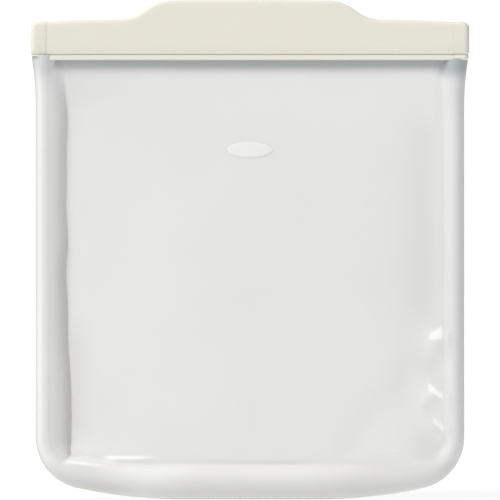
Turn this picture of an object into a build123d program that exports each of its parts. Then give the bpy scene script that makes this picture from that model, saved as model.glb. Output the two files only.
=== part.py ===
"""Reusable silicone storage bag, standing upright with its press-to-close mouth shut.

A translucent moulded pouch has thin front and rear panels inside a thicker hollow rim: two side
walls, two rounded bottom corners and a flat-bottomed gusset. A cream closure band runs along the
top: a front and a rear lip, each with a grip tab and a collar bonded over its panel's top edge,
and two press seals between them. The lips meet in a rounded joint at each end of the band.

Units are millimetres. +X is to the right, the front faces -Y and +Z is up. The origin is on the
surface that the bag stands on, under its centre.
"""

import os
from math import asin, cos, degrees, radians, sin

from build123d import *

# Pouch outline, seen from the front
POUCH_HALF_WIDTH = 98.2
POUCH_FLARE = 1.2  # how much wider each side is where it meets the band
FLARE_START_Z = 184.0
CORNER_RADIUS = 24.0
FLAT_HALF_LENGTH = 30.0  # the part of the base that touches the table
BASE_RISE_ANGLE = 11.9  # slope of the base where a bottom corner starts, degrees

# Pouch walls
RIM_WALL = 1.8
PANEL_WALL = 1.3
PANEL_BASE_Z = 16.4
PANEL_BASE_OFFSET = 7.0  # from the middle plane to a panel's outer face, at its foot
PANEL_TOP_OFFSET = 4.4  # the same, under the band
SIDE_RIM_WIDTH = 9.4
SIDE_RADIUS_FLARE = 6.0
SIDE_RADIUS_TOP = 5.2
SIDE_RADIUS_FOOT = 5.6
CORNER_END_RADIUS = 7.5
CORNER_END_WRAP = 66.0
GUSSET_RADIUS = 8.2
GUSSET_WRAP = 85.0
CORNER_SECTIONS = 4
GUSSET_SPANS = 4

# Closure band
BAND_BASE_Z = 201.4
BAND_HALF_DEPTH = 6.9
BAND_END_X = 93.5  # where the lips end and the end joints begin
BAND_OUTER_X = 100.4
BAND_END_TOP_Z = 218.5
COLLAR_HEIGHT = 2.3
COLLAR_REBATE = 0.6  # the collar's top is this far behind the lip's face, and its foot level
COLLAR_INNER_OFFSET = 2.9
PANEL_TUCK = 1.2  # how far a panel's top edge goes up into its collar
TAB_FOOT_X = 60.7
TAB_FOOT_Z = 219.6
TAB_SHOULDER_X = 35.4
TAB_SHOULDER_Z = 228.4
TAB_CROWN = 0.3
TOP_EDGE_ROUND = 1.6
END_EDGE_ROUND = 2.2

# Press seals: two ridges on the rear lip, two channels in the front one
SEAL_HEIGHTS = {"lower": 208.2, "upper": 213.6}
SEAL_HALF_LENGTH = 91.0
STRIP_HALF_HEIGHT = 2.0
STRIP_DEPTH = 3.7
SLOT_HALF_HEIGHT = 1.15
SLOT_DEPTH = 3.0
RIDGE_ROOT_HALF = 0.85
RIDGE_TIP_HALF = 0.6
RIDGE_REACH = 2.5
RIDGE_BASE_DEPTH = 2.2

# Blank moulded pad on the front panel
PAD_LENGTH = 20.0
PAD_HEIGHT = 6.4
PAD_RAISE = 0.3
PAD_Z = 160.0

# Room between pieces that move apart
CLEARANCE = 0.3
LIP_GAP = 0.15  # from each lip's inner face to the middle plane

# Worked out from the sizes above
CORNER_X = POUCH_HALF_WIDTH - CORNER_RADIUS
RISE = radians(BASE_RISE_ANGLE)
CORNER_FOOT_X = CORNER_X + CORNER_RADIUS * sin(RISE)
BASE_ARC_RADIUS = (CORNER_FOOT_X - FLAT_HALF_LENGTH) / sin(RISE)
CORNER_FOOT_Z = BASE_ARC_RADIUS * (1 - cos(RISE))
CORNER_Z = CORNER_FOOT_Z + CORNER_RADIUS * cos(RISE)
PANEL_SLOPE = (PANEL_BASE_OFFSET - PANEL_TOP_OFFSET) / (BAND_BASE_Z - PANEL_BASE_Z)
LIP_BASE_Z = BAND_BASE_Z + COLLAR_HEIGHT
END_BASE_Z = BAND_BASE_Z - CLEARANCE
LIP_HALF_WIDTH = BAND_END_X - CLEARANCE


def panel_offset(z):
    """Distance from the middle plane to a panel's outer face at height z."""
    return PANEL_BASE_OFFSET - PANEL_SLOPE * (z - PANEL_BASE_Z)


def rim_face(radius, wrap, lip_offset, plane):
    """The rim's C-shaped section. Its x runs out of the pouch and its y from front to rear.

    Each half is an arc that starts on the outermost line and wraps wrap degrees past its crest,
    to a lip that is lip_offset from the middle plane.
    """
    turn = radians(90 + wrap)
    half_flat = lip_offset - radius * cos(radians(wrap))

    def point(angle, r, side):
        return (-radius + r * cos(angle), side * (half_flat + r * sin(angle)))

    def arc(r, side):
        return [point(angle, r, side) for angle in (turn, turn / 2, 0)]

    inner = radius - RIM_WALL
    front_out, rear_out = arc(radius, -1), arc(radius, 1)
    front_in, rear_in = arc(inner, -1), arc(inner, 1)
    outline = [
        Edge.make_three_point_arc(*front_out),
        Edge.make_line(front_out[2], rear_out[2]),
        Edge.make_three_point_arc(*reversed(rear_out)),
        Edge.make_line(rear_out[0], rear_in[0]),
        Edge.make_three_point_arc(*rear_in),
        Edge.make_line(rear_in[2], front_in[2]),
        Edge.make_three_point_arc(*reversed(front_in)),
        Edge.make_line(front_in[0], front_out[0]),
    ]
    return plane * Face(Wire(outline))


def rim_plane(x, z, angle):
    """A section plane at (x, z) whose outward direction is angle degrees above +X."""
    a = radians(angle)
    return Plane(origin=(x, 0, z), x_dir=(cos(a), 0, sin(a)), z_dir=(-sin(a), 0, cos(a)))


def side_face(x, z, radius):
    """The side wall's section, whose lips lie in line with the panels' outer faces."""
    width = SIDE_RIM_WIDTH + max(0.0, x - POUCH_HALF_WIDTH)
    wrap = degrees(asin(width / radius - 1))
    return rim_face(radius, wrap, panel_offset(z), rim_plane(x, z, 0))


def side_wall():
    """The right side wall, from the corner up to the band, flared at its top."""
    sections = [
        side_face(POUCH_HALF_WIDTH, CORNER_Z, SIDE_RADIUS_FOOT),
        side_face(POUCH_HALF_WIDTH, FLARE_START_Z, SIDE_RADIUS_TOP),
        side_face(POUCH_HALF_WIDTH + POUCH_FLARE, END_BASE_Z, SIDE_RADIUS_FLARE),
    ]
    return loft(sections, ruled=True)


def corner_face(share):
    """The corner's section, share 0 at the side wall and 1 at the gusset."""
    side_wrap = degrees(asin(SIDE_RIM_WIDTH / SIDE_RADIUS_FOOT - 1))
    angle = -share * (90 - BASE_RISE_ANGLE)
    radius = SIDE_RADIUS_FOOT + share * (CORNER_END_RADIUS - SIDE_RADIUS_FOOT)
    wrap = side_wrap + share * (CORNER_END_WRAP - side_wrap)
    x = CORNER_X + CORNER_RADIUS * cos(radians(angle))
    z = CORNER_Z + CORNER_RADIUS * sin(radians(angle))
    width = radius * (1 + sin(radians(wrap)))
    lip_z = z - width * sin(radians(angle))
    lip_offset = panel_offset(lip_z) - share * PANEL_WALL
    return rim_face(radius, wrap, lip_offset, rim_plane(x, z, angle))


def bottom_corner():
    """The right bottom corner, which joins the side wall to the gusset."""
    shares = [i / (CORNER_SECTIONS - 1) for i in range(CORNER_SECTIONS)]
    return loft([corner_face(share) for share in shares])


def base_face(share):
    """The gusset's section, share 0 at the end of the flat part and 1 at the corner."""
    angle = share * RISE
    radius = GUSSET_RADIUS + share * (CORNER_END_RADIUS - GUSSET_RADIUS)
    wrap = GUSSET_WRAP + share * (CORNER_END_WRAP - GUSSET_WRAP)
    x = FLAT_HALF_LENGTH + BASE_ARC_RADIUS * sin(angle)
    z = BASE_ARC_RADIUS * (1 - cos(angle))
    lip_z = z + radius * (1 + sin(radians(wrap))) * cos(angle)
    lip_offset = panel_offset(lip_z) - PANEL_WALL
    return rim_face(radius, wrap, lip_offset, rim_plane(x, z, degrees(angle) - 90))


def gusset():
    """The base: flat in the middle, and rising in a long arc to each corner."""
    right = [base_face(i / GUSSET_SPANS) for i in range(GUSSET_SPANS + 1)]
    left = [mirror(face, about=Plane.YZ) for face in reversed(right)]
    return loft(left + right, ruled=True)


def panel_plane():
    """The front panel's outer face. Its y runs up the panel, from the panel's foot."""
    tilt = Vector(0, PANEL_SLOPE, 1).normalized()
    normal = Vector(1, 0, 0).cross(tilt)
    return Plane(
        origin=(0, -PANEL_BASE_OFFSET, PANEL_BASE_Z), x_dir=(1, 0, 0), z_dir=normal
    )


def panel():
    """The thin front panel, which fills the rim and tucks up into the collar."""
    side = POUCH_HALF_WIDTH - SIDE_RIM_WIDTH - CLEARANCE
    foot = CLEARANCE
    corner_lip = CORNER_END_RADIUS * (1 + sin(radians(CORNER_END_WRAP)))
    corner_foot = CORNER_FOOT_Z + corner_lip * cos(RISE) - PANEL_BASE_Z + CLEARANCE
    corner_x = CORNER_FOOT_X - corner_lip * sin(RISE)
    corner_top = CORNER_Z - PANEL_BASE_Z
    top = BAND_BASE_Z + PANEL_TUCK - PANEL_BASE_Z
    along_foot = (FLAT_HALF_LENGTH - corner_x, foot - corner_foot)
    right = [
        Line((0, foot), (FLAT_HALF_LENGTH, foot)),
        Line((FLAT_HALF_LENGTH, foot), (corner_x, corner_foot)),
        TangentArc(
            (corner_x, corner_foot),
            (side, corner_top),
            tangent=(-along_foot[0], -along_foot[1]),
        ),
        Line((side, corner_top), (side, top)),
        Line((side, top), (0, top)),
    ]
    half = make_face(Wire([line.edge() for line in right] + [Line((0, top), (0, foot)).edge()]))
    outline = half + mirror(half, about=Plane.YZ)
    return extrude(panel_plane() * outline, amount=-PANEL_WALL)


def pad():
    """A blank raised pad on the front panel."""
    outline = Pos(0, PAD_Z - PANEL_BASE_Z) * SlotOverall(PAD_LENGTH, PAD_HEIGHT)
    return extrude(panel_plane() * outline, amount=PAD_RAISE)


def lip_outline():
    """Half of a lip seen from the front: its top edge, grip tab and base."""
    shoulder = (TAB_SHOULDER_X, TAB_SHOULDER_Z)
    foot = (TAB_FOOT_X, TAB_FOOT_Z)
    middle = ((shoulder[0] + foot[0]) / 2, (shoulder[1] + foot[1]) / 2)
    end = (LIP_HALF_WIDTH, BAND_END_TOP_Z)
    crown = Line((0, TAB_SHOULDER_Z + TAB_CROWN), shoulder)
    shoulder_arc = TangentArc(shoulder, middle, tangent=(1, 0))
    foot_arc = TangentArc(foot, middle, tangent=(-1, 0))
    top_edge = TangentArc(foot, end, tangent=(1, 0))
    base = Line((LIP_HALF_WIDTH, LIP_BASE_Z), (0, LIP_BASE_Z))
    edges = [crown, shoulder_arc, foot_arc, top_edge, Line(end, (LIP_HALF_WIDTH, LIP_BASE_Z))]
    edges += [base, Line((0, LIP_BASE_Z), (0, TAB_SHOULDER_Z + TAB_CROWN))]
    half = make_face(Wire([e.edge() for e in edges]))
    return half + mirror(half, about=Plane.YZ)


def seal_box(z, depth):
    """The space that a seal strip fills in the front lip."""
    box = Box(2 * SEAL_HALF_LENGTH, depth, 2 * STRIP_HALF_HEIGHT)
    return Pos(0, -LIP_GAP - depth / 2, z) * box


def lip(strip_depth):
    """The front lip with its tab, and a pocket for each seal strip."""
    body = extrude(Plane.XZ.offset(LIP_GAP) * lip_outline(), amount=BAND_HALF_DEPTH - LIP_GAP)
    front = body.faces().sort_by(Axis.Y)[0]
    top_edges = [e for e in front.edges() if e.center().Z > BAND_END_TOP_Z - CLEARANCE]
    body = fillet(top_edges, TOP_EDGE_ROUND)
    for z in SEAL_HEIGHTS.values():
        body -= seal_box(z, strip_depth)
    return body


def seal_channel(z):
    """A strip in the front lip whose slot takes the rear lip's ridge."""
    slot = Box(2 * SEAL_HALF_LENGTH, SLOT_DEPTH, 2 * SLOT_HALF_HEIGHT)
    return seal_box(z, STRIP_DEPTH) - Pos(0, -LIP_GAP - SLOT_DEPTH / 2, z) * slot


def seal_ridge(z):
    """A strip in the rear lip whose tapered ridge presses into the front lip's channel."""
    points = [
        (LIP_GAP + RIDGE_BASE_DEPTH, -STRIP_HALF_HEIGHT),
        (LIP_GAP, -STRIP_HALF_HEIGHT),
        (LIP_GAP, -RIDGE_ROOT_HALF),
        (-RIDGE_REACH, -RIDGE_TIP_HALF),
        (-RIDGE_REACH, RIDGE_TIP_HALF),
        (LIP_GAP, RIDGE_ROOT_HALF),
        (LIP_GAP, STRIP_HALF_HEIGHT),
        (LIP_GAP + RIDGE_BASE_DEPTH, STRIP_HALF_HEIGHT),
    ]
    profile = make_face(Polyline(*points, close=True))
    strip = extrude(Plane.YZ * profile, amount=SEAL_HALF_LENGTH - CLEARANCE, both=True)
    return Pos(0, 0, z) * strip


def collar():
    """The strip under the front lip, an upside-down U over the panel's top edge."""
    points = [
        (-BAND_HALF_DEPTH, BAND_BASE_Z),
        (COLLAR_REBATE - BAND_HALF_DEPTH, LIP_BASE_Z),
        (-COLLAR_INNER_OFFSET, LIP_BASE_Z),
        (-COLLAR_INNER_OFFSET, BAND_BASE_Z),
    ]
    profile = make_face(Polyline(*points, close=True))
    strip = extrude(Plane.YZ * profile, amount=LIP_HALF_WIDTH, both=True)
    return strip - panel()


def end_joint():
    """The rounded right-hand end of the band, where the two lips meet."""
    height = BAND_END_TOP_Z - END_BASE_Z
    middle = (BAND_END_X + BAND_OUTER_X) / 2
    block = Box(BAND_OUTER_X - BAND_END_X, 2 * BAND_HALF_DEPTH, height)
    block = Pos(middle, 0, END_BASE_Z + height / 2) * block
    upright = block.faces().sort_by(Axis.X)[-1].edges().filter_by(Axis.Z)
    block = fillet(upright, END_EDGE_ROUND)
    top = block.faces().sort_by(Axis.Z)[-1]
    round_edges = [e for e in top.edges() if e.center().X > BAND_END_X + CLEARANCE]
    return fillet(round_edges, TOP_EDGE_ROUND)


def write(name, shape):
    export_step(shape, f"parts/{name}.step")


def main():
    os.makedirs("parts", exist_ok=True)
    pairs = {"side_wall": side_wall(), "bottom_corner": bottom_corner(), "end_joint": end_joint()}
    for name, right in pairs.items():
        write(f"right_{name}", right)
        write(f"left_{name}", mirror(right, about=Plane.YZ))
    write("bottom_gusset", gusset())
    write("front_panel", panel())
    write("rear_panel", mirror(panel(), about=Plane.XZ))
    write("front_collar", collar())
    write("rear_collar", mirror(collar(), about=Plane.XZ))
    write("front_lip", lip(STRIP_DEPTH))
    write("rear_lip", mirror(lip(RIDGE_BASE_DEPTH), about=Plane.XZ))
    write("blank_oval_pad", pad())
    for level, z in SEAL_HEIGHTS.items():
        write(f"{level}_seal_channel", seal_channel(z))
        write(f"{level}_seal_ridge", seal_ridge(z))


main()
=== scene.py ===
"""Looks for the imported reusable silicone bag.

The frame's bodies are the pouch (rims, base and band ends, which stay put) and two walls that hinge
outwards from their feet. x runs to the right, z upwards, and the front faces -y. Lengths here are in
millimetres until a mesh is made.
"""

from bisect import bisect_right
from collections import namedtuple
from copy import copy
from math import cos, degrees, exp, pi, radians, sin, sqrt

import bmesh
import bpy
import numpy as np
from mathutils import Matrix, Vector, noise


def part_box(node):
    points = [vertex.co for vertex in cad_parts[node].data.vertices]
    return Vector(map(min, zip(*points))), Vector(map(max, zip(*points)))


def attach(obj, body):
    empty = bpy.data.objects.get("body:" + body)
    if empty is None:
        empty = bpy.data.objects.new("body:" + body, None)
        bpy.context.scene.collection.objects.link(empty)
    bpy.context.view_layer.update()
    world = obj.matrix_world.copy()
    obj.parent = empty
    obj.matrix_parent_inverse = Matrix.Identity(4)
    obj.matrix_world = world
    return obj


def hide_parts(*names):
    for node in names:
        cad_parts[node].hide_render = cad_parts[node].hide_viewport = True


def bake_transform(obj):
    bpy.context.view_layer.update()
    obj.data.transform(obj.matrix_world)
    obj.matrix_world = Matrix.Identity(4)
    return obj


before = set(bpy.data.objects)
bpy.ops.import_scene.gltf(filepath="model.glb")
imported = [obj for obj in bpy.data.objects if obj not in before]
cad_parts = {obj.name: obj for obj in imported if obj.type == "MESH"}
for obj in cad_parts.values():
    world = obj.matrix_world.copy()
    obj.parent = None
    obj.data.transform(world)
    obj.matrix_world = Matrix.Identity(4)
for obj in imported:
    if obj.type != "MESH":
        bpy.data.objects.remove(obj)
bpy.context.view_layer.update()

MM = 0.001


def box_mm(node):
    low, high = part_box(node)
    return np.array(low) / MM, np.array(high) / MM


# Sizes read from the frame
CORNER_HIGH = box_mm("right_bottom_corner")[1]
COLLAR_LOW = box_mm("front_collar")[0]
PANEL_LOW = box_mm("front_panel")[0]
LIP_LOW, LIP_HIGH = box_mm("front_lip")
END_LOW, END_HIGH = box_mm("right_end_joint")
PAD_LOW, PAD_HIGH = box_mm("blank_oval_pad")
HALF_WIDTH = CORNER_HIGH[0]
CORNER_Z = CORNER_HIGH[2]
BAND_DEPTH = END_HIGH[1]
BAND_END_X = END_LOW[0]
BAND_OUTER_X = END_HIGH[0]
BAND_BASE_Z = COLLAR_LOW[2]
BAND_END_TOP_Z = END_HIGH[2]
GROOVE_Z = LIP_LOW[2]
LIP_END_X = LIP_HIGH[0]
TAB_TOP_Z = LIP_HIGH[2]
PANEL_FOOT_Z = PANEL_LOW[2]
FOOT_OFFSET = -PANEL_LOW[1]
PAD_Z = (PAD_LOW[2] + PAD_HIGH[2]) / 2

# Rim: radii, how far each section wraps past its crest (degrees), and its wall
CORNER_RADIUS = 24.0
CORNER_X = HALF_WIDTH - CORNER_RADIUS
BASE_RISE = radians(11.9)
FLAT_HALF_LENGTH = 30.0
RIM_WALL = 1.8
RIM_WIDTH = 9.4
SIDE_RADIUS_TOP = 5.2
SIDE_RADIUS_FOOT = 5.6
CORNER_END = (7.5, 66.0)  # section radius and wrap where a corner meets the base
GUSSET = (8.2, 85.0)  # the same along the flat of the base
FLARE = 1.7
FLARE_LENGTH = 22.0
FLARE_ROUNDING = 0.45  # the share of the flare that goes into the section's radius
CREST_SHIFT = 0.33  # how far the left rim's crest is pulled outwards, as a share of its radius
CORNER_EASE = 0.36  # how much lower the rim's crest is at the full right corner

# Thin walls, from the middle plane to the outer face, and their fillets against the rim
PANEL_WALL = 1.3
TOP_OFFSET = 4.4
INNER_GAP = 1.2  # the inner faces stay this far from the middle plane
TUCK = 0.8  # the walls are drawn in under the band
FILLET_BACK = 20.0  # degrees back from the rim's lip to where a wall's fillet starts
CORNER_BACK = 26.0  # further degrees back where the right corner is full
FILLET_REACH = 1.9
CORNER_REACH = 1.5  # further reach where the right corner is full
FILLET_PULL = 0.42  # length of the fillet curve's handles, as a share of its span
BUCKLE_START = 18.0  # degrees past the buckled rim's crest to where its fillet starts
BUCKLE_DEPTH = 2.9
BUCKLE_SLOPE = 48.0

# Band
TAB_FOOT = (60.7, 219.6)
TAB_SHOULDER = (35.4, 228.4)
LIP_GAP = 0.15
TOP_ROUND = 1.6
SEAL_HEIGHTS = {"lower": 208.2, "upper": 213.6}
STRIP_HALF = 2.0
CHANNEL_DEPTH = 3.7
RIDGE_DEPTH = 2.2

# How finely the rim and the fillets are divided
SIDE_STEPS = 168
CORNER_STEPS = 18
BASE_STEPS = 44
FLAT_STEPS = 12
SKIN_STEPS = 40
INNER_STEPS = 12
FILLET_ROWS = 15


# ---------------------------------------------------------------- helpers


def smooth(t):
    """0 below 0, 1 above 1, and an easy slope between."""
    t = np.clip(t, 0.0, 1.0) if isinstance(t, np.ndarray) else min(max(t, 0.0), 1.0)
    return t * t * (3 - 2 * t)


def above(value, start, length):
    """0 up to start, 1 from one length above it."""
    return smooth((value - start) / length)


def below(value, start, length):
    """0 down to start, 1 from one length below it."""
    return smooth((start - value) / length)


def bell(t):
    """1 at 0, falling away to both sides."""
    return exp(-(t**2))


def hump(t, upper, lower):
    """1 at 0, falling away over one half height above it and another below."""
    return bell(t / (upper if t > 0 else lower))


def spot(x, z, middle_x, middle_z, half_x, half_z):
    """1 in the middle of an oval, falling away round it."""
    return exp(-(((x - middle_x) / half_x) ** 2) - ((z - middle_z) / half_z) ** 2)


def spline(xs, ys, x):
    """A smooth curve through points, without overshoot between them."""
    x = min(max(x, xs[0]), xs[-1])
    i = min(bisect_right(xs, x) - 1, len(xs) - 2)
    slopes = [tangent_at(xs, ys, j) for j in (i, i + 1)]
    h = xs[i + 1] - xs[i]
    t = (x - xs[i]) / h
    return (
        (1 + 2 * t) * (1 - t) ** 2 * ys[i]
        + t * (1 - t) ** 2 * h * slopes[0]
        + t * t * (3 - 2 * t) * ys[i + 1]
        + t * t * (t - 1) * h * slopes[1]
    )


def tangent_at(xs, ys, j):
    """The curve's slope at its point j, level at a peak or a dip."""
    rises = [(ys[k + 1] - ys[k]) / (xs[k + 1] - xs[k]) for k in (j - 1, j) if 0 <= k < len(xs) - 1]
    if len(rises) == 1:
        return rises[0]
    before, after = rises
    return 0.0 if before * after <= 0 else 2 * before * after / (before + after)


def make_mesh(name, points, faces, sharp=42.0):
    mesh = bpy.data.meshes.new(name)
    mesh.from_pydata([tuple(p) for p in np.asarray(points, float) * MM], [], faces)
    mesh.validate()
    mesh.update()
    mesh.polygons.foreach_set("use_smooth", [True] * len(mesh.polygons))
    mesh.set_sharp_from_angle(angle=radians(sharp))
    obj = bpy.data.objects.new(name, mesh)
    bpy.context.scene.collection.objects.link(obj)
    return obj


def read_points(obj, attribute="co"):
    """One row for each of the mesh's points, in the mesh's own units."""
    values = np.empty(len(obj.data.vertices) * 3)
    obj.data.vertices.foreach_get(attribute, values)
    return values.reshape(-1, 3)


def quads(rows, columns):
    """Faces between rows of points, where each row is a closed loop."""
    faces = []
    for r in range(rows - 1):
        for c in range(columns):
            a = r * columns + c
            b = r * columns + (c + 1) % columns
            faces.append((a, b, b + columns, a + columns))
    return faces


def loft(name, sections, sharp=42.0):
    """A closed solid through closed loops of equal length, with flat ends."""
    count, size = len(sections), len(sections[0])
    faces = quads(count, size)
    faces.append(tuple(range(size))[::-1])
    faces.append(tuple(range((count - 1) * size, count * size)))
    obj = make_mesh(name, np.concatenate(sections), faces, sharp)
    fix_normals(obj)
    return obj


def fix_normals(obj):
    """Turns every face outwards."""
    work = bmesh.new()
    work.from_mesh(obj.data)
    bmesh.ops.recalc_face_normals(work, faces=work.faces)
    work.to_mesh(obj.data)
    work.free()
    obj.data.update()


# ---------------------------------------------------------------- rim


def panel_offset(z):
    """From the middle plane to a wall's outer face at height z."""
    share = (z - PANEL_FOOT_Z) / (BAND_BASE_Z - PANEL_FOOT_Z)
    return FOOT_OFFSET + share * (TOP_OFFSET - FOOT_OFFSET)


def flare(z):
    """How much wider the side is near the band."""
    return FLARE * min(max(0.0, 1 - (BAND_BASE_Z - z) / FLARE_LENGTH), 1.0) ** 2


class Station:
    """One section of the rim: where it is, which way is outwards, and its C shape.

    outer and inner are the half widths of the arc before and after its crest; share is 0 on a
    side, 1 on the base and between them in a corner.
    """

    def __init__(self, x, z, heading, radius, wrap, lip_offset, share):
        self.x, self.z, self.heading, self.share = x, z, heading, share
        self.radius, self.wrap = radius, radians(wrap)
        self.outer = self.inner = radius
        self.half_flat = lip_offset - radius * cos(self.wrap)

    def half_width(self, turn):
        return self.outer if turn < pi / 2 else self.inner

    def section(self, turn, inset=0.0):
        """(distance in from the outline, distance from the middle plane) at an angle."""
        inward = self.outer - (self.half_width(turn) - inset) * cos(turn)
        return inward, self.half_flat + (self.radius - inset) * sin(turn)

    def slope(self, turn):
        """Direction along the section there, as (inward, offset)."""
        step = np.array([self.half_width(turn) * sin(turn), self.radius * cos(turn)])
        return step / np.linalg.norm(step)

    def place(self, inward, offset, side):
        """That section point as (x, y, z). side is -1 in front and 1 behind."""
        x = self.x - inward * cos(self.heading)
        z = self.z - inward * sin(self.heading)
        return (x, side * offset, z)

    def mirrored(self):
        twin = copy(self)
        twin.x = -self.x
        twin.heading = pi - self.heading
        return twin


def side_station(z):
    share = (z - CORNER_Z) / (BAND_BASE_Z - CORNER_Z)
    extra = flare(z)
    radius = SIDE_RADIUS_FOOT + share * (SIDE_RADIUS_TOP - SIDE_RADIUS_FOOT)
    radius += FLARE_ROUNDING * extra
    wrap = degrees(np.arcsin((RIM_WIDTH + extra) / radius - 1))
    return Station(HALF_WIDTH + extra, z, 0.0, radius, wrap, panel_offset(z), 0.0)


def corner_station(share):
    """share is 0 at the side and 1 at the base."""
    side = side_station(CORNER_Z)
    heading = -share * (pi / 2 - BASE_RISE)
    ease = smooth(share)
    radius = side.radius + ease * (CORNER_END[0] - side.radius)
    wrap = degrees(side.wrap) + ease * (CORNER_END[1] - degrees(side.wrap))
    x = CORNER_X + CORNER_RADIUS * cos(heading)
    z = CORNER_Z + CORNER_RADIUS * sin(heading)
    lip_z = z - radius * (1 + sin(radians(wrap))) * sin(heading)
    return Station(x, z, heading, radius, wrap, panel_offset(lip_z) - ease * PANEL_WALL, share)


def base_station(share):
    """share is -1 in the middle, 0 at the end of the flat part and 1 at the corner."""
    foot_x = CORNER_X + CORNER_RADIUS * sin(BASE_RISE)
    arc_radius = (foot_x - FLAT_HALF_LENGTH) / sin(BASE_RISE)
    bend = max(share, 0.0)
    angle = bend * BASE_RISE
    radius = GUSSET[0] + bend * (CORNER_END[0] - GUSSET[0])
    wrap = GUSSET[1] + bend * (CORNER_END[1] - GUSSET[1])
    x = FLAT_HALF_LENGTH + arc_radius * sin(angle) if share >= 0 else FLAT_HALF_LENGTH * (1 + share)
    z = arc_radius * (1 - cos(angle))
    lip_z = z + radius * (1 + sin(radians(wrap))) * cos(angle)
    return Station(x, z, angle - pi / 2, radius, wrap, panel_offset(lip_z) - PANEL_WALL, 1.0)


def buckled(station):
    """How much of the left rim's buckle this station has: it runs out in the corner and at the top."""
    if station.x > 0:
        return 0.0
    return (1 - above(station.share, 0.5, 0.42)) * below(station.z, BAND_BASE_Z + 1, 7)


def pull_left_rim(station):
    """The left rim is pulled inwards: its crest is nearer the outline, its slope longer."""
    share = buckled(station)
    if share > 0:
        lip = station.radius * (1 + sin(station.wrap))
        station.outer = station.radius * (1 - CREST_SHIFT * share)
        station.inner = (lip - station.outer) / sin(station.wrap)
    return station


def corner_fullness(station):
    """How far the right bottom corner has filled out, so its rim stands less proud."""
    return above(station.x, 12, 66) * smooth(station.share / 0.8)


def ease_right_corner(station):
    """The rim's crest is lower there, over the same width."""
    lowered = station.radius * (1 - CORNER_EASE * above(corner_fullness(station), 0.35, 0.65))
    station.half_flat += (station.radius - lowered) * cos(station.wrap)
    station.radius = lowered
    return station


def right_stations(top):
    """From the band down the right side and along the base to its middle."""
    stations = [side_station(top + (CORNER_Z - top) * i / SIDE_STEPS) for i in range(SIDE_STEPS)]
    stations += [corner_station(i / (2 * CORNER_STEPS)) for i in range(2 * CORNER_STEPS)]
    stations += [base_station(1 - i / BASE_STEPS) for i in range(BASE_STEPS)]
    stations += [base_station(-i / FLAT_STEPS) for i in range(FLAT_STEPS + 1)]
    return stations


RIGHT = right_stations(BAND_BASE_Z + 0.1)
LEFT = [pull_left_rim(s.mirrored()) for s in right_stations(GROOVE_Z - 0.5)[-2::-1]]
STATIONS = [ease_right_corner(s) for s in RIGHT] + LEFT


def skin_share(station, turn):
    """0 at the rim's crest and 1 where a plain fillet starts, along the skin."""
    return smooth((turn - pi / 2) / (station.wrap - radians(FILLET_BACK)))


def pinched(station, turn):
    """A point of the front skin, lifted between the crest and the lip where the wall is pinched."""
    inward, offset = station.section(turn)
    x, _, z = station.place(inward, offset, -1)
    return (x, -(offset + skin_share(station, turn) * front_pinch(x, z)), z)


def rim_loop(station):
    """The closed C-shaped loop: outer skin, rounded rear lip, inner skin, rounded front lip."""
    turn = pi / 2 + station.wrap
    turns = [turn * (1 - i / SKIN_STEPS) for i in range(SKIN_STEPS + 1)]
    outer = [station.section(t) for t in turns]
    inner = [station.section(turn * (1 - i / INNER_STEPS), RIM_WALL) for i in range(INNER_STEPS + 1)]
    loop = [pinched(station, t) for t in turns]
    loop += [station.place(0.0, 0.0, 1)]
    loop += [station.place(*point, 1) for point in outer[::-1]]
    loop += [station.place(*point, 1) for point in inner]
    loop += [station.place(RIM_WALL, 0.0, 1)]
    loop += [station.place(*point, -1) for point in inner[::-1]]
    return np.array(loop)


def build_rim():
    return loft("pouch_rim", [rim_loop(s) for s in STATIONS], sharp=50)


# ---------------------------------------------------------------- shape of the thin walls

FOLD_X = -83.9

# The front wall's bulge: depth out from the flat wall at distances across it
BULGE_X = [-84.0, -72.0, -55.0, -30.0, 0.0, 25.0, 50.0, 64.0, 73.0, 80.0, 90.0]
BULGE = [-BUCKLE_DEPTH, -1.8, -0.7, 0.75, 1.7, 1.95, 1.85, 1.55, 0.95, 0.65, 0.75]

PUCKERS = [
    # x, z, length in from the rim, half height above, half height below, rise, lean
    (88.0, 74.2, 8.0, 2.3, 6.5, 0.9, 0.0),
    (88.0, 75.2, 14.0, 3.6, 6.0, 0.3, 0.0),
    (88.0, 46.6, 8.5, 2.1, 4.0, 0.7, -0.36),
    (88.0, 33.0, 6.5, 1.3, 2.4, 0.8, -0.5),
]
DENTS = [
    # x, z, half width, half height, depth
    (84.0, 61.5, 6.0, 4.6, 0.5),
    (84.5, 41.0, 4.5, 4.4, 0.25),
    (81.0, 24.0, 6.0, 5.0, 0.5),
]
RING = (88.0, 41.5, 9.0, 8.2, 2.6, 0.32)  # x, z, half width, half height, breadth, rise
LEDGES = [
    # from x, to x, z at the first, slope, height of its upper face, reach below, rise
    (-69.0, -40.0, 18.8, 0.0, 0.9, 3.6, 0.85),
    (-87.0, -64.0, 17.8, -0.13, 0.6, 2.6, 0.6),
]
REAR_RIM_X = -88.4
REAR_CREASES = [
    # z at the rim, length in from it, half height, rise, lean
    (132.0, 16.0, 4.2, 1.1, 0.35),
    (118.0, 11.0, 3.0, 0.9, -0.3),
]


def fold_x(z):
    """Where the front wall has buckled beside its left rim: nearly upright, and wavy."""
    foot = 0.6 * below(z, 112, 30) + 1.2 * below(z, 66, 36) + 1.2 * bell((z - 47) / 12)
    top = -0.6 * above(z, 166, 22)
    return FOLD_X + foot + top + 0.3 * sin(z / 8.5) + 0.22 * sin(z / 4.6 + 1.0)


def fold_depth(z):
    """The fold is as deep as it gets over most of the wall, and runs out under the band."""
    return below(z, BAND_BASE_Z + 1, 26)


def tuck(z):
    return -TUCK * above(z, 190, 9)


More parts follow.
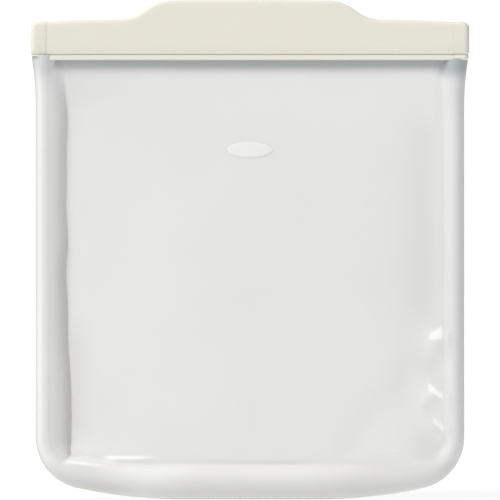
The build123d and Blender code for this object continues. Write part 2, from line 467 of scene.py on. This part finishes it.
def bulge(x, z):
    """How far the front wall stands out from flat: it sinks towards its left rim."""
    level = spline(BULGE_X, BULGE, x)
    if level <= 0:
        return tuck(z) + level * fold_depth(z) * above(z, 15, 13)
    corner = 1.5 * spot(x, z, 90, 12, 20, 18)
    fullness = 0.55 + 0.45 * above(z, 15, 44)
    return tuck(z) + corner + level * below(z, BAND_BASE_Z - 4, 34) * fullness


def rear_bulge(x, z):
    """The rear wall swells evenly, most in its middle."""
    swell = cos(pi / 2 * min(abs(x) / 86, 1.0))
    fullness = 0.5 + 0.5 * above(z, 15, 45)
    return tuck(z) + 1.5 * swell * below(z, BAND_BASE_Z - 3, 40) * fullness


def pinch_marks(x, z):
    """Folds that run in from the right rim where the wall is pinched, and dents between them."""
    rise = 0.0
    for px, pz, length, upper, lower, height, lean in PUCKERS:
        s = max(px - x, 0.0) / length
        spread = 0.8 + 0.5 * s
        from_crest = (z - pz + lean * (px - x)) / spread
        level = (0.55 + 0.45 * below(x, px, 4)) * smooth(1 - s / 1.3)
        rise += height * level * hump(from_crest, upper, lower)
    for dx, dz, wide, high, depth in DENTS:
        rise -= depth * spot(x, z, dx, dz, wide, high)
    rx, rz, wide, high, breadth, height = RING
    from_ring = (sqrt(((x - rx) / wide) ** 2 + ((z - rz) / high) ** 2) - 1) * wide
    return rise + height * bell(from_ring / breadth) * below(x, rx - 1, 4)


def ledge_window(x, start, end):
    """A ledge rises quickly where it starts and dies away where it ends."""
    return above(x, start, 8) * below(x, end, 12)


def ledge_marks(x, z):
    """Creases in the wall's foot, level above and sloping below."""
    rise = 0.0
    for x0, x1, line_z, slope, upper, lower, height in LEDGES:
        rise += height * ledge_window(x, x0, x1) * hump(z - line_z - slope * (x - x0), upper, lower)
    return rise


def near_pinches(x):
    return x > 58


def near_ledges(x, z):
    return x < -30 and z < 22


def front_pinch(x, z):
    if near_pinches(x):
        return pinch_marks(x, z)
    return ledge_marks(x, z) if near_ledges(x, z) else 0.0


def rear_pinch(x, z):
    """Softer creases in from the rear wall's far rim."""
    rise = 0.0
    if x > -56:
        return rise
    from_rim = x - REAR_RIM_X
    for crease_z, length, half, height, lean in REAR_CREASES:
        s = max(from_rim, 0.0) / length
        from_line = z - crease_z - lean * from_rim
        rise += height * smooth(1 - s / 1.3) * bell(from_line / (half * (0.8 + 0.6 * s)))
    return rise


def wave(x, z, seed, scale):
    return noise.noise(Vector((x / scale, seed, z / scale)))


def front_waves(x, z):
    """Gentle unevenness, and a trough that climbs to the right from the wall's foot."""
    trough = (z - 41.5) - (x - 61.3)
    unevenness = 0.26 * wave(x, z, 3.1, 62) + 0.07 * wave(x, z, 8.7, 24)
    return unevenness - 0.55 * bell(trough / 13) * above(x, 36, 20) * below(x, 84, 14)


def rear_waves(x, z):
    """The same behind, with a dent that runs across the wall's middle."""
    dent = (z - 118) + 1.3 * (x + 40)
    unevenness = 0.4 * wave(x, z, 21.3, 64) + 0.1 * wave(x, z, 14.9, 27)
    return unevenness - 0.5 * bell(dent / 14) * above(x, -84, 20) * below(x, 10, 30)


# What differs between the two thin walls. side is -1 in front and 1 behind.
Wall = namedtuple("Wall", "name side swell waves pinch has_buckle")
FRONT = Wall("front_thin_wall", -1, bulge, front_waves, front_pinch, True)
REAR = Wall("rear_thin_wall", 1, rear_bulge, rear_waves, rear_pinch, False)


# ---------------------------------------------------------------- building the thin walls


def wall_buckle(wall, station):
    return buckled(station) if wall.has_buckle else 0.0


def start_turn(wall, station):
    """Where on the rim's skin a wall's fillet starts."""
    plain = pi / 2 + station.wrap - radians(FILLET_BACK + CORNER_BACK * corner_fullness(station))
    return plain + wall_buckle(wall, station) * (pi / 2 + radians(BUCKLE_START) - plain)


def border_curve(wall, station):
    """From the rim's skin in a smooth fillet to the wall's own surface: section points."""
    share = wall_buckle(wall, station)
    turn = start_turn(wall, station)
    start = np.array(station.section(turn))
    lip = station.section(pi / 2 + station.wrap)[0]
    inward = lip + FILLET_REACH + CORNER_REACH * corner_fullness(station)
    if share > 0 and cos(station.heading) < -0.3:  # the outline is steep enough to face the fold
        fold_z = station.z - inward * sin(station.heading)
        to_fold = (fold_x(fold_z) - station.x) / -cos(station.heading)
        inward += share * (to_fold - inward)
    x, _, z = station.place(inward, 0.0, wall.side)
    end = np.array([inward, panel_offset(z) + wall.swell(x, z)])
    pull = FILLET_PULL * np.linalg.norm(end - start)
    slope = radians(BUCKLE_SLOPE) * share * fold_depth(z)
    a = start + pull * station.slope(turn)
    b = end - pull * np.array([cos(slope), -sin(slope)])
    t = np.linspace(0, 1, FILLET_ROWS)[:, None]
    return (1 - t) ** 3 * start + 3 * (1 - t) ** 2 * t * a + 3 * (1 - t) * t**2 * b + t**3 * end


def path_shares(points):
    """How far along its path each point is, from 0 to 1."""
    lengths = np.r_[0, np.cumsum(np.linalg.norm(np.diff(points, axis=0), axis=1))]
    return lengths / lengths[-1]


def coons(bottom, top, left, right):
    """A grid of points inside four border curves; rows run from bottom to top."""
    u, v = path_shares(bottom)[None, :, None], path_shares(left)[:, None, None]
    grid = (1 - v) * bottom[None] + v * top[None] + (1 - u) * left[:, None] + u * right[:, None]
    grid -= (1 - u) * (1 - v) * bottom[0] + u * (1 - v) * bottom[-1]
    grid -= (1 - u) * v * top[0] + u * v * top[-1]
    return grid


# Stations that border the sheet's sides; the ones between them border its foot
SPLIT = SIDE_STEPS + CORNER_STEPS
LAST = len(STATIONS) - 1


def sheet_grid(edge):
    """(x, z) points of the sheet within the fillets, from its border points."""
    right = edge[: SPLIT + 1][::-1]
    bottom = edge[SPLIT : LAST - SPLIT + 1][::-1]
    left = edge[LAST - SPLIT :]
    share = path_shares(bottom)[:, None]
    top = left[-1] * (1 - share) + right[-1] * share
    return coons(bottom, top, left, right)


def border_cell(k, columns):
    """The sheet's row and column where station k's fillet ends."""
    if k <= SPLIT:
        return SPLIT - k, columns - 1
    if k <= LAST - SPLIT:
        return 0, columns - 1 - (k - SPLIT)
    return k - (LAST - SPLIT), 0


def build_wall(wall):
    """A thin wall: a fillet all round its rim, a sheet within it, and its inner face."""
    curves = [border_curve(wall, s) for s in STATIONS]
    ends = [s.place(c[-1][0], 0.0, wall.side) for s, c in zip(STATIONS, curves)]
    grid = sheet_grid(np.array([(x, z) for x, _, z in ends]))
    rows, columns = grid.shape[:2]

    points = []
    for j in range(rows):
        for i in range(columns):
            x, z = grid[j, i].tolist()
            inside = smooth(min(i, columns - 1 - i, j) / 6.0)
            offset = panel_offset(z) + wall.swell(x, z) + wall.pinch(x, z) + inside * wall.waves(x, z)
            points.append((x, wall.side * offset, z))
    for station, curve in zip(STATIONS, curves):
        run_on = skin_share(station, start_turn(wall, station))
        for r in range(FILLET_ROWS - 1):
            x, y, z = station.place(*curve[r], wall.side)
            share = run_on + (1 - run_on) * smooth(r / (FILLET_ROWS - 1))
            points.append((x, y + wall.side * wall.pinch(x, z) * share, z))

    def sheet_point(j, i):
        return j * columns + i

    def fillet_point(k, r):
        """The last row of a fillet is the sheet's own border."""
        if r == FILLET_ROWS - 1:
            return sheet_point(*border_cell(k, columns))
        return rows * columns + k * (FILLET_ROWS - 1) + r

    faces = []
    for j in range(rows - 1):
        for i in range(columns - 1):
            corners = [(j, i), (j, i + 1), (j + 1, i + 1), (j + 1, i)]
            faces.append(tuple(sheet_point(*corner) for corner in corners))
    for k in range(LAST):
        for r in range(FILLET_ROWS - 1):
            corners = [(k, r), (k + 1, r), (k + 1, r + 1), (k, r + 1)]
            faces.append(tuple(fillet_point(*corner) for corner in corners))
    outer = make_mesh(wall.name, points, faces)
    fix_normals(outer)
    return thicken(outer, wall)


def thicken(outer, wall):
    """The sheet's inner face follows its outer one, and a strip closes them all round."""
    co = read_points(outer) / MM
    normal = read_points(outer, "normal")
    if normal[:, 1].sum() * wall.side < 0:
        normal = -normal
    inner = co - normal * PANEL_WALL
    inner[:, 1] = wall.side * np.maximum(wall.side * inner[:, 1], INNER_GAP)
    faces = [tuple(p.vertices) for p in outer.data.polygons]
    edges = dict.fromkeys((a, b) for face in faces for a, b in zip(face, face[1:] + face[:1]))
    border = [(a, b) for a, b in edges if (b, a) not in edges]
    count = len(co)
    solid = faces + [tuple(v + count for v in face[::-1]) for face in faces]
    solid += [(b, a, a + count, b + count) for a, b in border]
    bpy.data.objects.remove(outer)
    obj = make_mesh(wall.name, np.concatenate([co, inner]), solid, sharp=50)
    fix_normals(obj)
    return obj


# ---------------------------------------------------------------- band


def lip_top(x):
    """Height of the band's top edge: level, with a grip tab in the middle."""
    x = abs(x)
    (foot_x, foot_z), (shoulder_x, shoulder_z) = TAB_FOOT, TAB_SHOULDER
    run, rise = foot_x - shoulder_x, shoulder_z - foot_z
    arc = (run**2 + rise**2) / (4 * rise)
    middle = (foot_x + shoulder_x) / 2
    if x >= foot_x:
        drop = foot_z - BAND_END_TOP_Z
        return foot_z - drop * ((x - foot_x) / (BAND_END_X - foot_x)) ** 2
    if x >= middle:
        return foot_z + arc - sqrt(arc**2 - (foot_x - x) ** 2)
    if x >= shoulder_x:
        return shoulder_z - arc + sqrt(arc**2 - (x - shoulder_x) ** 2)
    return shoulder_z + (TAB_TOP_Z - shoulder_z) * (1 - (x / shoulder_x) ** 2)


def lip_xs():
    """Stations along the band, closer together on the tab's curved sides."""
    runs = [(0, 31, 14), (32.5, 63, 30), (66, LIP_END_X, 12)]  # from x, to x, stations
    half = [x for run in runs for x in np.linspace(*run)]
    return sorted({-x for x in half} | set(half))


def arc_points(centre, radius, start, end, count):
    return [
        (centre[0] + radius * cos(t), centre[1] + radius * sin(t))
        for t in np.linspace(radians(start), radians(end), count)
    ]


def lip_section(x, strip_depth):
    """Closed (depth, height) loop. Depth is measured out from the middle plane."""
    top, face, inner = lip_top(x), BAND_DEPTH, LIP_GAP
    edge, mouth = 0.45, 0.7  # roundings of the face's lower edge and of the mouth's edge
    loop = [(inner + 0.3, GROOVE_Z), (face - edge, GROOVE_Z)]
    loop += arc_points((face - edge, GROOVE_Z + edge), edge, -90, 0, 4)[1:]
    loop += [(face, GROOVE_Z + 4), (face, (GROOVE_Z + top) / 2), (face, top - 4)]
    loop += arc_points((face - TOP_ROUND, top - TOP_ROUND), TOP_ROUND, 0, 90, 7)
    loop += arc_points((inner + mouth, top - mouth), mouth, 90, 180, 4)
    for level in ("upper", "lower"):
        z = SEAL_HEIGHTS[level]
        loop += [(inner, z + STRIP_HALF), (inner + strip_depth, z + STRIP_HALF)]
        loop += [(inner + strip_depth, z - STRIP_HALF), (inner, z - STRIP_HALF)]
    loop += [(inner, GROOVE_Z + 0.3)]
    return loop


def band_loft(name, side, section, xs, sharp=38):
    loops = [np.array([(x, side * y, z) for y, z in section(x)]) for x in xs]
    return loft(name, loops, sharp)


def collar_section(x):
    """A strip with a soft bead at its foot and a groove above it, the same all along."""
    face, foot, inner, bead = BAND_DEPTH, BAND_BASE_Z - 0.35, 2.9, 0.4
    loop = [(inner, foot + 0.35), (face - 1.2, foot)]
    loop += arc_points((face - bead, foot + bead), bead, -90, 20, 6)
    loop += [(face - 0.08, foot + 1.2), (face - 0.16, GROOVE_Z - 0.45)]
    loop += [(face - 0.75, GROOVE_Z), (inner, GROOVE_Z)]
    return loop


def channel_section(z):
    """A strip with a slot in it, rounded at its mouth and at its bottom."""
    slot_half, slot_depth, mouth, bottom = 1.15, 3.0, 0.3, 0.4
    inner, outer = LIP_GAP, LIP_GAP + CHANNEL_DEPTH
    end = inner + slot_depth - bottom

    def section(x):
        loop = [(inner, z - STRIP_HALF), (outer, z - STRIP_HALF)]
        loop += [(outer, z + STRIP_HALF), (inner, z + STRIP_HALF)]
        loop += [(inner, z + slot_half + mouth)]
        loop += arc_points((inner + mouth, z + slot_half + mouth), mouth, 180, 270, 4)[1:]
        loop += [(end, z + slot_half)]
        loop += arc_points((end, z + slot_half - bottom), bottom, 90, 0, 4)[1:]
        loop += arc_points((end, z - slot_half + bottom), bottom, 0, -90, 4)
        loop += arc_points((inner + mouth, z - slot_half - mouth), mouth, 90, 180, 4)
        return loop

    return section


def ridge_section(z):
    """A strip with a tapered ridge on it that reaches across into the channel."""
    root, tip, reach = 0.85, 0.6, 2.5
    base, back = LIP_GAP, LIP_GAP + RIDGE_DEPTH

    def section(x):
        loop = [(back, z + STRIP_HALF), (back, z - STRIP_HALF)]
        loop += [(base, z - STRIP_HALF), (base, z - root - 0.25)]
        loop += [(base - 0.3, z - root), (-reach + tip, z - tip)]
        loop += arc_points((-reach + tip, z), tip, 270, 90, 7)[1:-1]
        loop += [(-reach + tip, z + tip), (base - 0.3, z + root)]
        loop += [(base, z + root + 0.25), (base, z + STRIP_HALF)]
        return loop

    return section


# How a band end meets the lips: taper is the share of the strip under the groove that is lost
# round the end; gap and groove are the width and depth of the line between them
Seam = namedtuple("Seam", "taper gap groove")
SEAMS = {"left": Seam(0.8, 0.06, 0.12), "right": Seam(0.0, 0.01, 0.04)}


def end_loop(z, inset, outer_inset, join):
    """A band end's outline at one height: square to the lips, rounded outside."""
    outer, depth, corner = BAND_OUTER_X - outer_inset, BAND_DEPTH - inset, 2.2
    seam = LIP_END_X + join.gap
    front = [(seam, join.groove - depth), (seam + 0.3, -depth), (seam + 0.6, -depth)]
    front += [(outer - corner - 0.4, -depth)]
    front += arc_points((outer - corner, -depth + corner), corner, -90, 0, 7)
    loop = front + [(outer, 0.0)] + [(x, -y) for x, y in front[::-1]]
    below_groove = max(GROOVE_Z - 0.3 - z, 0.0)
    return np.array([(x, y, z + join.taper * below_groove * above(x, seam, 5)) for x, y in loop])


def build_end(end):
    """A band end: a collar strip, the groove above it, and a rounded top."""
    base, top, corner = END_LOW[2], END_HIGH[2], 2.8
    levels = [
        # height, inset of the faces, inset of the outer end
        (base, 0.55, 1.0),
        (base + 0.25, 0.2, 0.7),
        (base + 0.8, 0.05, 0.45),
        (base + 1.8, 0.3, 0.3),
        (GROOVE_Z - 0.3, 0.6, 0.45),
        (GROOVE_Z + 0.1, 0.7, 0.5),
        (GROOVE_Z + 0.4, 0.15, 0.1),
        (GROOVE_Z + 0.9, 0.0, 0.0),
        (top - 6.5, 0.0, 0.0),
    ]
    for t in np.linspace(0, pi / 2, 9):
        drop = corner * (1 - sin(t))
        face_drop = max(TOP_ROUND - drop, 0.0)
        inset = TOP_ROUND - sqrt(max(TOP_ROUND**2 - face_drop**2, 0.0))
        levels.append((top - drop, inset, corner * (1 - cos(t))))
    loops = [end_loop(*level, SEAMS[end]) for level in levels]
    if end == "left":
        loops = [loop * (-1, 1, 1) for loop in loops]
    return loft(f"{end}_band_end", loops, sharp=50)


def build_oval():
    """A blank glossy oval, set on the front wall as a low dome."""
    half_length, half_height, count = 10.6, 3.7, 72
    rings = [
        # share of the outline, height above the wall
        (1.0, -0.30),
        (1.0, 0.02),
        (0.97, 0.10),
        (0.92, 0.17),
        (0.84, 0.22),
        (0.7, 0.26),
        (0.4, 0.29),
    ]

    def on_wall(x, z, rise):
        relief = bulge(x, z) + front_pinch(x, z) + front_waves(x, z)
        return (x, -(panel_offset(z) + relief + rise), z)

    points = []
    for scale, rise in rings:
        for i in range(count):
            t = 2 * pi * i / count
            x = scale * half_length * cos(t)
            points.append(on_wall(x, PAD_Z + scale * half_height * sin(t), rise))
    points.append(on_wall(0.0, PAD_Z, 0.30))
    faces = quads(len(rings), count)
    tip = len(points) - 1
    last = (len(rings) - 1) * count
    faces += [(last + i, last + (i + 1) % count, tip) for i in range(count)]
    faces.append(tuple(range(count))[::-1])
    obj = make_mesh("blank_oval", points, faces, sharp=60)
    fix_normals(obj)
    return obj


# ---------------------------------------------------------------- placement of the wall's pieces


def bend_with_wall(obj):
    """Bakes obj's placement into its mesh and reads its points, which nothing uses.
    """
    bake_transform(obj)
    points = read_points(obj) / MM


# ---------------------------------------------------------------- materials

# How a piece's colour changes with the amounts stored on its points: painted shade, painted shadow
# under the band and painted highlights
SHADES = [
    # painted shade: darker grey in the buckle, round the base and on the rims' shaded slopes
    ("painted_shade", (0.80, 0.79, 0.75), "MULTIPLY"),
    # painted shadow under the band, bluish grey
    ("painted_band_shadow", (0.59, 0.63, 0.65), "MULTIPLY"),
    # painted highlight on the pinches' upper faces and the ledges
    ("painted_glint", (0.99, 0.99, 0.985), "MIX"),
]


def noise_texture(tree, scale, detail):
    """The output of a noise texture in the object's own coordinates."""
    place = tree.nodes.new("ShaderNodeTexCoord")
    texture = tree.nodes.new("ShaderNodeTexNoise")
    texture.inputs["Scale"].default_value = scale
    texture.inputs["Detail"].default_value = detail
    tree.links.new(place.outputs["Object"], texture.inputs["Vector"])
    return texture.outputs["Fac"]


def shaded_colour(tree, colour, speckle):
    """A faint cloudiness, then each painted shade, shadow and highlight by its stored amount."""
    tint = tree.nodes.new("ShaderNodeValToRGB")
    dark, light = tint.color_ramp.elements
    dark.position, dark.color = 0.3, (*[c * (1 - speckle) for c in colour], 1)
    light.position, light.color = 0.7, (*colour, 1)
    tree.links.new(noise_texture(tree, 16.0, 3.0), tint.inputs["Fac"])
    shade = tint.outputs["Color"]
    for name, tone, blend in SHADES:
        amount = tree.nodes.new("ShaderNodeAttribute")
        amount.attribute_name = name
        mix = tree.nodes.new("ShaderNodeMix")
        mix.data_type = "RGBA"
        mix.blend_type = blend
        tree.links.new(amount.outputs["Fac"], mix.inputs["Factor"])
        tree.links.new(shade, mix.inputs["A"])
        mix.inputs["B"].default_value = (*tone, 1)
        shade = mix.outputs["Result"]
    return shade


def smudged_roughness(tree, roughness):
    rough = tree.nodes.new("ShaderNodeMapRange")
    rough.inputs["From Min"].default_value = 0.3
    rough.inputs["From Max"].default_value = 0.7
    rough.inputs["To Min"].default_value = roughness - 0.05
    rough.inputs["To Max"].default_value = roughness + 0.06
    tree.links.new(noise_texture(tree, 55.0, 4.0), rough.inputs["Value"])
    return rough.outputs["Result"]


def fine_grain(tree, strength):
    bump = tree.nodes.new("ShaderNodeBump")
    bump.inputs["Strength"].default_value = strength
    bump.inputs["Distance"].default_value = 0.0001
    tree.links.new(noise_texture(tree, 1900.0, 2.0), bump.inputs["Height"])
    return bump.outputs["Normal"]


def silicone(name, colour, roughness, subsurface, radius, transmission, grain, speckle):
    """Soft moulded silicone: slight cloudiness, fine matte grain and faint smudges."""
    material = bpy.data.materials.new(name)
    material.use_nodes = True
    tree = material.node_tree
    inputs = tree.nodes["Principled BSDF"].inputs
    inputs["Subsurface Weight"].default_value = subsurface
    inputs["Subsurface Radius"].default_value = (1.0, 1.0, 1.0)
    inputs["Subsurface Scale"].default_value = radius * MM
    inputs["Transmission Weight"].default_value = transmission
    inputs["IOR"].default_value = 1.41
    tree.links.new(shaded_colour(tree, colour, speckle), inputs["Base Color"])
    tree.links.new(smudged_roughness(tree, roughness), inputs["Roughness"])
    tree.links.new(fine_grain(tree, grain), inputs["Normal"])
    return material


pouch_silicone = silicone(
    "pouch_silicone",
    (0.803, 0.802, 0.799),
    roughness=0.42,
    subsurface=0.30,
    radius=1.6,
    transmission=0.12,
    grain=0.12,
    speckle=0.035,
)
cream_silicone = silicone(
    "cream_silicone",
    (0.718, 0.695, 0.615),
    roughness=0.62,
    subsurface=0.15,
    radius=1.0,
    transmission=0.0,
    grain=0.25,
    speckle=0.02,
)
seal_silicone = silicone(
    "seal_silicone",
    (0.72, 0.70, 0.63),
    roughness=0.40,
    subsurface=0.20,
    radius=1.5,
    transmission=0.0,
    grain=0.10,
    speckle=0.02,
)
oval_silicone = silicone(
    "oval_silicone",
    (0.90, 0.90, 0.895),
    roughness=0.18,
    subsurface=0.30,
    radius=2.0,
    transmission=0.1,
    grain=0.03,
    speckle=0.01,
)


# ---------------------------------------------------------------- amounts of painted shade, shadow and highlight

# Strips of painted highlight along the pinches' upper faces
PAINTED_GLINT_STRIPS = [
    # x, z and half height at one end, the same at the other, strength
    (81.9, 74.5, 1.2, 87.7, 76.4, 3.0, 0.85),
    (81.4, 51.7, 1.5, 88.1, 47.3, 1.3, 0.95),
    (83.8, 36.6, 1.0, 88.6, 32.3, 1.3, 0.8),
]


def set_amount(obj, name, amount):
    """Stores amount(x, y, z), from 0 to 1, at each point for the material to read."""
    values = [amount(*point) for point in (read_points(obj) / MM).tolist()]
    obj.data.attributes.new(name, "FLOAT", "POINT").data.foreach_set("value", values)


def distance_out(x, z):
    """Distance out to a side; in a bottom corner, as if the corner were bent straight."""
    return CORNER_X + sqrt((abs(x) - CORNER_X) ** 2 + min(z - CORNER_Z, 0.0) ** 2)


def base_painted_shade(x, y, z):
    """Painted shade, a darker grey: round the base, on the right rim's inner slope and along the left
    rim's outer edge.
    """
    bead = (0.38 - 0.30 * bell((x + 50) / 14)) * below(z, 19.5, 5)
    foot = bead + 0.22 * below(z, 10, 10) + 0.40 * below(x, -45, 25) * below(z, 13, 9)
    out = distance_out(x, z)
    right_slope = 0.22 * bell((out - 90.6) / 1.9) * above(x, 78, 6)
    left_edge = 0.9 * above(out - flare(z), 96.2, 2.2) * below(x, -70, 8)
    return max(foot, right_slope, left_edge)


def front_painted_shade(x, y, z):
    """Painted shade on the front wall too: in its buckle and beside it, and where it has sunk towards
    the right rim and between the pinches.
    """
    crease = above(x, -93.5, 7) * below(x, fold_x(z) + 0.3, 0.6)
    buckle = (0.26 + 0.40 * below(z, 150, 60)) * crease * above(z, 17, 10) * below(z, 200, 30)
    buckle_foot = 0.6 * spot(x, z, -84, 23, 5, 7)
    beside_buckle = 0.4 * bell((x + 80) / 6) * below(z, 92, 26) * above(z, 26, 10)
    right_streak = 0.29 * bell((x - 79.5) / 7) * below(z, 186, 26) * above(z, 72, 18)
    between_pinches = 0.32 * spot(x, z, 84, 60, 5, 5)
    right_corner = 0.55 * spot(x, z, 82.5, 23, 7, 8)
    sunk = max(between_pinches, right_corner) * below(x, 89, 3)
    return max(base_painted_shade(x, y, z), buckle, buckle_foot, beside_buckle, right_streak, sunk)


def front_painted_glints(x, y, z):
    """Painted highlights where the wall is creased: on the pinches' upper faces and along the ledges.
    """
    amount = 0.0
    if y < 0 and near_pinches(x):
        for x0, z0, half0, x1, z1, half1, strength in PAINTED_GLINT_STRIPS:
            t = (x - x0) / (x1 - x0)
            half = half0 + min(max(t, 0.0), 1.0) * (half1 - half0)
            ends = above(t, -0.1, 0.25) * below(t, 1.06, 0.12)
            across = smooth(half + 0.5 - abs(z - z0 - t * (z1 - z0)))
            amount = max(amount, strength * ends * across)
    if y < 0 and near_ledges(x, z):
        for x0, x1, line_z, slope, *_ in LEDGES:
            from_line = z - line_z - slope * (x - x0) - 0.3
            amount = max(amount, 0.6 * ledge_window(x, x0, x1) * hump(from_line, 0.6, 0.8))
    return amount


def rim_painted_band_shadow(x, y, z):
    """Painted shadow on the rims under the band, the right one most."""
    left = 0.5 * above(z, 189, 11.5) * below(x, -89.5, 3)
    right = (0.9 * above(z, 190.5, 7.5) + 0.1 * above(z, 168, 16)) * above(x, 84, 5)
    return max(left, right)


def wall_painted_band_shadow(x, y, z):
    """Painted shadow on the walls under the band too."""
    return max(rim_painted_band_shadow(x, y, z), 0.95 * above(z, 194.6, 7))


# ---------------------------------------------------------------- the bag

RIM_NODES = [
    "left_side_wall",
    "right_side_wall",
    "left_bottom_corner",
    "right_bottom_corner",
    "bottom_gusset",
]
XS = lip_xs()


def finish_piece(obj, material, nodes):
    obj.data.materials.clear()
    obj.data.materials.append(material)
    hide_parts(*nodes)
    return obj


def add_pouch():
    """The still pieces: the rim all round, and the band's ends."""
    rim = build_rim()
    # Painted shade, painted highlights and painted shadow under the band, by where each point lies
    set_amount(rim, "painted_shade", base_painted_shade)
    set_amount(rim, "painted_glint", front_painted_glints)
    set_amount(rim, "painted_band_shadow", rim_painted_band_shadow)
    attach(rim, "pouch")
    finish_piece(rim, pouch_silicone, RIM_NODES)
    for end in ("left", "right"):
        piece = build_end(end)
        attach(piece, "pouch")
        finish_piece(piece, cream_silicone, [f"{end}_end_joint"])


def panel_piece(face, wall):
    panel = build_wall(wall)
    # Painted shade and painted shadow under the band by where each point lies, and painted highlights
    # in front
    set_amount(panel, "painted_shade", front_painted_shade if face == "front" else base_painted_shade)
    set_amount(panel, "painted_band_shadow", wall_painted_band_shadow)
    if face == "front":
        set_amount(panel, "painted_glint", front_painted_glints)
    return finish_piece(panel, pouch_silicone, [f"{face}_panel"])


def band_pieces(face, side, kind, section, strip_depth):
    """Half of the band: its lip, the strip under it, and its two strips of the press seal."""
    lip = band_loft(f"{face}_grip_lip", side, lambda x: lip_section(x, strip_depth), XS)
    finish_piece(lip, cream_silicone, [f"{face}_lip"])
    collar = band_loft(f"{face}_bond_strip", side, collar_section, XS)
    finish_piece(collar, cream_silicone, [f"{face}_collar"])
    seals = []
    for level, z in SEAL_HEIGHTS.items():
        seal = band_loft(f"{level}_press_{kind}", side, section(z), XS)
        seals.append(finish_piece(seal, seal_silicone, [f"{level}_seal_{kind}"]))
    return [lip, collar, *seals]


add_pouch()
for face, wall, kind, section, strip_depth in (
    ("front", FRONT, "channel", channel_section, CHANNEL_DEPTH),
    ("rear", REAR, "ridge", ridge_section, RIDGE_DEPTH),
):
    pieces = [panel_piece(face, wall), *band_pieces(face, wall.side, kind, section, strip_depth)]
    if face == "front":
        oval = finish_piece(build_oval(), oval_silicone, ["blank_oval_pad"])
        pieces.append(oval)
    for piece in pieces:
        bend_with_wall(piece)


# ---------------------------------------------------------------- studio


def light_table(name, colour, glow):
    """White paper on a light table: lit from above and a little from below."""
    material = bpy.data.materials.new(name)
    material.use_nodes = True
    shader = material.node_tree.nodes["Principled BSDF"]
    shader.inputs["Base Color"].default_value = (*colour, 1)
    shader.inputs["Roughness"].default_value = 0.9
    shader.inputs["Specular IOR Level"].default_value = 0.1
    shader.inputs["Emission Color"].default_value = (1, 1, 1, 1)
    shader.inputs["Emission Strength"].default_value = glow
    return material


def build_floor():
    """A wide disc just under the bag."""
    radius, drop, count = 12000.0, 0.02, 96
    turns = [2 * pi * i / count for i in range(count)]
    points = [(0, 0, -drop)] + [(radius * cos(t), radius * sin(t), -drop) for t in turns]
    faces = [(0, 1 + i, 1 + (i + 1) % count) for i in range(count)]
    floor = make_mesh("studio_floor", points, faces)
    floor.data.materials.append(light_table("floor_paper", (0.22, 0.22, 0.22), glow=0.84))


def build_sun(name, azimuth, elevation, spread, strength, colour):
    """Soft light from far away, so the floor is lit evenly. Azimuth is to the camera's left."""
    light = bpy.data.lights.new(name, "SUN")
    light.angle = radians(spread)
    light.energy = strength
    light.color = colour
    obj = bpy.data.objects.new(name, light)
    bpy.context.scene.collection.objects.link(obj)
    across, up = radians(azimuth), radians(elevation)
    towards = Vector((-sin(across) * cos(up), -cos(across) * cos(up), sin(up)))
    obj.location = towards
    obj.rotation_mode = "QUATERNION"
    obj.rotation_quaternion = towards.to_track_quat("Z", "Y")


def build_world(ambient, tint, backdrop_strength):
    """A white surround, dimmer as a light than as a backdrop."""
    world = bpy.data.worlds.new("studio")
    bpy.context.scene.world = world
    world.use_nodes = True
    nodes, links = world.node_tree.nodes, world.node_tree.links
    room = nodes["Background"]
    room.inputs["Color"].default_value = (*tint, 1)
    room.inputs["Strength"].default_value = ambient
    backdrop = nodes.new("ShaderNodeBackground")
    backdrop.inputs["Color"].default_value = (1, 1, 1, 1)
    backdrop.inputs["Strength"].default_value = backdrop_strength
    ray = nodes.new("ShaderNodeLightPath")
    mix = nodes.new("ShaderNodeMixShader")
    links.new(ray.outputs["Is Camera Ray"], mix.inputs["Fac"])
    links.new(room.outputs["Background"], mix.inputs[1])
    links.new(backdrop.outputs["Background"], mix.inputs[2])
    links.new(mix.outputs["Shader"], nodes["World Output"].inputs["Surface"])


def build_camera(distance, height, view_width):
    """Looks level at the front, from far enough to flatten it as the photograph does."""
    data = bpy.data.cameras.new("camera")
    data.sensor_width = 36.0
    data.lens = data.sensor_width * distance / view_width
    data.clip_end = 50.0
    camera = bpy.data.objects.new("camera", data)
    bpy.context.scene.collection.objects.link(camera)
    camera.location = (0, -distance, height)
    camera.rotation_euler = (pi / 2, 0, 0)
    bpy.context.scene.camera = camera


build_floor()
build_sun(
    "key_light",
    azimuth=50.0,
    elevation=50.0,
    spread=34.0,
    strength=2.98,
    colour=(1.0, 0.985, 0.965),
)
build_world(ambient=0.38, tint=(0.95, 0.98, 1.0), backdrop_strength=1.05)
build_camera(distance=2.4, height=0.1142, view_width=0.22935)  # metres
bpy.context.scene.view_settings.view_transform = "Standard"
